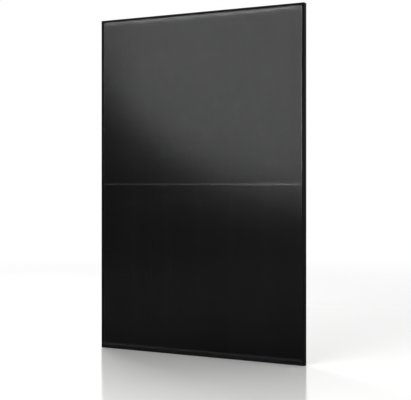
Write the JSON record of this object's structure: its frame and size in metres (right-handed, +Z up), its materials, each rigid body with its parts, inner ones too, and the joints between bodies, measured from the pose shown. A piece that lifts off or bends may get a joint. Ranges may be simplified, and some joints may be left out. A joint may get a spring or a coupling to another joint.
{
  "type": "photovoltaic module",
  "caption": "Black framed solar panel of half-cut cells in two halves, with a mitred aluminium frame, slotted rear flanges and three junction boxes across its back.",
  "frame": {"origin": "on the frame's rear plane, midway between the four outer slots, where bolts hold it to its rails", "axes": "+Z up along the long sides, +X across the short sides, -Y the way the glass faces"},
  "size_m": [1.134, 0.03, 1.722],
  "materials": {
    "solar_glass": "low-iron tempered glass with an anti-reflective coating",
    "clear_encapsulant": "clear",
    "black_encapsulant": "black",
    "black_backsheet": "black, fine matt grain",
    "silicon_cell": "black textured silicon with fine metal fingers",
    "tinned_copper": "bright tin coating",
    "coated_ribbon": "black-coated copper ribbon",
    "silicone_sealant": "cured black silicone",
    "black_anodised": "black anodised, satin",
    "mill_aluminium": "as extruded",
    "box_plastic": "black moulded, fine texture",
    "bare_copper": "bare stamped copper",
    "diode_epoxy": "moulded epoxy",
    "silicone_potting": "two-part silicone",
    "seal_rubber": "moulded rubber",
    "plate_film": "silver polyester film, blank"
  },
  "bodies": {
    "root": {"front_glass": "solar_glass", "front_encapsulant": "clear_encapsulant", "rear_encapsulant": "black_encapsulant", "backsheet": "black_backsheet", "cell_string_upper_1": "silicon_cell", "cell_string_upper_2": "silicon_cell", "cell_string_upper_3": "silicon_cell", "cell_string_upper_4": "silicon_cell", "cell_string_upper_5": "silicon_cell", "cell_string_upper_6": "silicon_cell", "cell_string_lower_1": "silicon_cell", "cell_string_lower_2": "silicon_cell", "cell_string_lower_3": "silicon_cell", "cell_string_lower_4": "silicon_cell", "cell_string_lower_5": "silicon_cell", "cell_string_lower_6": "silicon_cell", "tabbing_wires_1": "tinned_copper", "tabbing_wires_2": "tinned_copper", "tabbing_wires_3": "tinned_copper", "tabbing_wires_4": "tinned_copper", "tabbing_wires_5": "tinned_copper", "tabbing_wires_6": "tinned_copper", "bus_ribbons_top": "coated_ribbon", "bus_ribbons_bottom": "coated_ribbon", "bus_ribbons_middle": "coated_ribbon", "edge_sealant": "silicone_sealant", "frame_left": "black_anodised", "frame_right": "black_anodised", "frame_top": "black_anodised", "frame_bottom": "black_anodised", "corner_key_bottom_left": "mill_aluminium", "corner_key_bottom_right": "mill_aluminium", "corner_key_top_right": "mill_aluminium", "corner_key_top_left": "mill_aluminium", "junction_box_adhesive_left": "silicone_sealant", "junction_box_housing_left": "box_plastic", "junction_box_terminals_left": "bare_copper", "junction_box_diode_left": "diode_epoxy", "junction_box_potting_left": "silicone_potting", "junction_box_lid_left": "box_plastic", "junction_box_adhesive_middle": "silicone_sealant", "junction_box_housing_middle": "box_plastic", "junction_box_terminals_middle": "bare_copper", "junction_box_diode_middle": "diode_epoxy", "junction_box_potting_middle": "silicone_potting", "junction_box_lid_middle": "box_plastic", "junction_box_adhesive_right": "silicone_sealant", "junction_box_housing_right": "box_plastic", "junction_box_terminals_right": "bare_copper", "junction_box_diode_right": "diode_epoxy", "junction_box_potting_right": "silicone_potting", "junction_box_lid_right": "box_plastic", "outlet_seal_left": "seal_rubber", "outlet_seal_right": "seal_rubber", "outlet_nut_left": "box_plastic", "outlet_nut_right": "box_plastic", "rating_plate": "plate_film"}
  },
  "joints": []
}
